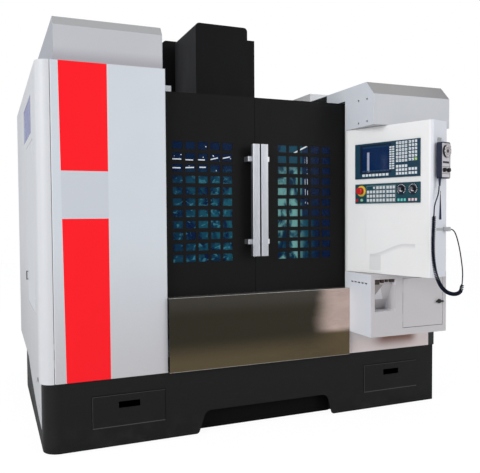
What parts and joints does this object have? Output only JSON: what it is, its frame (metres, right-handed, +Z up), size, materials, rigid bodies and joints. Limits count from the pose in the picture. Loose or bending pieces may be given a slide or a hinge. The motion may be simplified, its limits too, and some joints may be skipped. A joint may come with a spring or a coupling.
{
  "type": "vertical machining centre",
  "caption": "Vertical CNC machining centre with perforated sliding doors, swivelling operator console, hand pendant, T-slot table, vertical spindle head and tool carousel.",
  "frame": {"origin": "middle of the footprint, on the floor", "axes": "+X to the operator's right, +Y to the back, +Z up out of the table's top"},
  "size_m": [2.714, 2.9255, 2.75],
  "materials": {
    "enclosure_white": "satin",
    "enclosure_grey": "satin",
    "black_paint": "textured satin",
    "casting_paint": "satin",
    "machined_iron": "ground",
    "ground_steel": "ground",
    "polished_steel": "polished",
    "zinc_steel": "galvanised",
    "motor_black": "satin",
    "handle_aluminium": "brushed",
    "tinted_glass": "tinted",
    "panel_plastic": "membrane",
    "red_plastic": "gloss",
    "green_plastic": "gloss",
    "black_plastic": "matt",
    "cord_rubber": "matt",
    "grey_plastic": "matt"
  },
  "bodies": {
    "machine": {"bed": "casting_paint", "levelling_feet": "zinc_steel", "base_skirt": "black_paint", "coolant_tank": "black_paint", "column": "casting_paint", "column_cover": "black_paint", "left_front_panel": "enclosure_white", "left_side_cover": "enclosure_white", "right_side_cover": "enclosure_white", "right_front_panel": "enclosure_white", "rear_cover": "enclosure_white", "left_top_housing": "enclosure_white", "right_upper_housing": "enclosure_grey", "side_windows": "tinted_glass", "lower_console": "enclosure_grey", "front_apron": "polished_steel", "door_rails": "zinc_steel", "splash_guards": "zinc_steel", "ball_screws": "ground_steel", "servo_motors": "motor_black", "magazine_frame": "casting_paint", "electrical_cabinet": "enclosure_grey"},
    "service_door": {"left_service_door": "enclosure_white"},
    "cupboard_door": {"cupboard_door": "enclosure_grey"},
    "cupboard_latch": {"cupboard_latch": "black_plastic"},
    "cabinet_door": {"cabinet_door": "enclosure_grey"},
    "main_switch": {"main_switch": "red_plastic"},
    "chip_drawer_left": {"chip_drawer_left": "black_paint"},
    "chip_drawer_right": {"chip_drawer_right": "black_paint"},
    "saddle": {"saddle": "casting_paint", "x_ball_screw": "ground_steel"},
    "table": {"table": "machined_iron"},
    "head": {"head": "casting_paint", "motor_cover": "black_paint"},
    "spindle": {"spindle": "ground_steel"},
    "magazine_carriage": {"magazine_carriage": "casting_paint"},
    "tool_carousel": {"tool_carousel": "zinc_steel"},
    "left_door": {"left_door": "black_paint", "left_door_window": "tinted_glass", "left_door_handle": "handle_aluminium"},
    "right_door": {"right_door": "black_paint", "right_door_window": "tinted_glass", "right_door_handle": "handle_aluminium"},
    "console": {"console_box": "enclosure_white", "display_unit": "panel_plastic", "operation_panel": "panel_plastic", "pendant_bracket": "zinc_steel", "cord_clip": "grey_plastic", "pendant_body": "grey_plastic", "cord_lead": "cord_rubber", "curly_cord": "cord_rubber", "cord_tail": "cord_rubber"},
    "emergency_stop": {"emergency_stop": "red_plastic"},
    "start_button": {"start_button": "green_plastic"},
    "stop_button": {"stop_button": "red_plastic"},
    "feed_override_knob": {"feed_override_knob": "black_plastic"},
    "spindle_override_knob": {"spindle_override_knob": "black_plastic"},
    "pendant_wheel": {"pendant_wheel": "black_plastic"},
    "axis_selector": {"axis_selector": "black_plastic"},
    "step_selector": {"step_selector": "black_plastic"}
  },
  "joints": [
    {"name": "saddle_slide", "type": "slide", "parent": "machine", "child": "saddle", "axis": [0, 1, 0], "range_m": [-0.25, 0.25]},
    {"name": "table_slide", "type": "slide", "parent": "saddle", "child": "table", "axis": [1, 0, 0], "range_m": [-0.4, 0.4]},
    {"name": "head_slide", "type": "slide", "parent": "machine", "child": "head", "axis": [0, 0, 1], "range_m": [-0.5, 0]},
    {"name": "spindle_spin", "type": "hinge", "parent": "head", "child": "spindle", "pos_m": [0, 0.037, 1.5], "axis": [0, 0, 1], "continuous": true},
    {"name": "magazine_slide", "type": "slide", "parent": "machine", "child": "magazine_carriage", "axis": [1, 0, 0], "range_m": [0, 0.34]},
    {"name": "carousel_spin", "type": "hinge", "parent": "magazine_carriage", "child": "tool_carousel", "pos_m": [-0.64, 0.037, 1.49], "axis": [0, 0, 1], "continuous": true},
    {"name": "left_door_slide", "type": "slide", "parent": "machine", "child": "left_door", "axis": [-1, 0, 0], "range_m": [0, 0.51]},
    {"name": "right_door_slide", "type": "slide", "parent": "machine", "child": "right_door", "axis": [1, 0, 0], "range_m": [0, 0.51]},
    {"name": "service_door_hinge", "type": "hinge", "parent": "machine", "child": "service_door", "pos_m": [-1.348, -0.53, 1.28], "axis": [0, 0, 1], "range_deg": [0, 100]},
    {"name": "cupboard_door_hinge", "type": "hinge", "parent": "machine", "child": "cupboard_door", "pos_m": [0.866, -1.106, 0.768], "axis": [0, 0, -1], "range_deg": [0, 100]},
    {"name": "cupboard_latch_turn", "type": "hinge", "parent": "cupboard_door", "child": "cupboard_latch", "pos_m": [1.153, -1.106, 0.764], "axis": [0, 1, 0], "range_deg": [0, 90]},
    {"name": "cabinet_door_hinge", "type": "hinge", "parent": "machine", "child": "cabinet_door", "pos_m": [0.48, 1.407, 1.33], "axis": [0, 0, -1], "range_deg": [0, 100]},
    {"name": "main_switch_turn", "type": "hinge", "parent": "cabinet_door", "child": "main_switch", "pos_m": [-0.24, 1.407, 1.5], "axis": [0, 1, 0], "range_deg": [0, 90]},
    {"name": "left_drawer_slide", "type": "slide", "parent": "machine", "child": "chip_drawer_left", "axis": [0, -1, 0], "range_m": [0, 0.35]},
    {"name": "right_drawer_slide", "type": "slide", "parent": "machine", "child": "chip_drawer_right", "axis": [0, -1, 0], "range_m": [0, 0.35]},
    {"name": "console_swivel", "type": "hinge", "parent": "machine", "child": "console", "pos_m": [0.803, -0.963, 0.96], "axis": [0, 0, 1], "range_deg": [0, 55]},
    {"name": "emergency_stop_push", "type": "slide", "parent": "console", "child": "emergency_stop", "axis": [0.9489, 0.3156, 0], "range_m": [0, 0.006], "stiffness_N_per_m": 2500, "springref_m": -0.002},
    {"name": "start_button_push", "type": "slide", "parent": "console", "child": "start_button", "axis": [0.9489, 0.3156, 0], "range_m": [0, 0.003], "stiffness_N_per_m": 1200, "springref_m": -0.001},
    {"name": "stop_button_push", "type": "slide", "parent": "console", "child": "stop_button", "axis": [0.9489, 0.3156, 0], "range_m": [0, 0.003], "stiffness_N_per_m": 1200, "springref_m": -0.001},
    {"name": "feed_override_turn", "type": "hinge", "parent": "console", "child": "feed_override_knob", "pos_m": [0.74856, -1.2388, 1.495], "axis": [-0.9489, -0.3156, 0], "range_deg": [-135, 135]},
    {"name": "spindle_override_turn", "type": "hinge", "parent": "console", "child": "spindle_override_knob", "pos_m": [0.77444, -1.31661, 1.495], "axis": [-0.9489, -0.3156, 0], "range_deg": [-135, 135]},
    {"name": "pendant_wheel_spin", "type": "hinge", "parent": "console", "child": "pendant_wheel", "pos_m": [0.90623, -1.45298, 1.711], "axis": [0.3156, -0.9489, 0], "continuous": true},
    {"name": "axis_selector_turn", "type": "hinge", "parent": "console", "child": "axis_selector", "pos_m": [0.8844, -1.46024, 1.6], "axis": [0.3156, -0.9489, 0], "range_deg": [-60, 60]},
    {"name": "step_selector_turn", "type": "hinge", "parent": "console", "child": "step_selector", "pos_m": [0.92805, -1.44572, 1.6], "axis": [0.3156, -0.9489, 0], "range_deg": [-45, 45]}
  ]
}
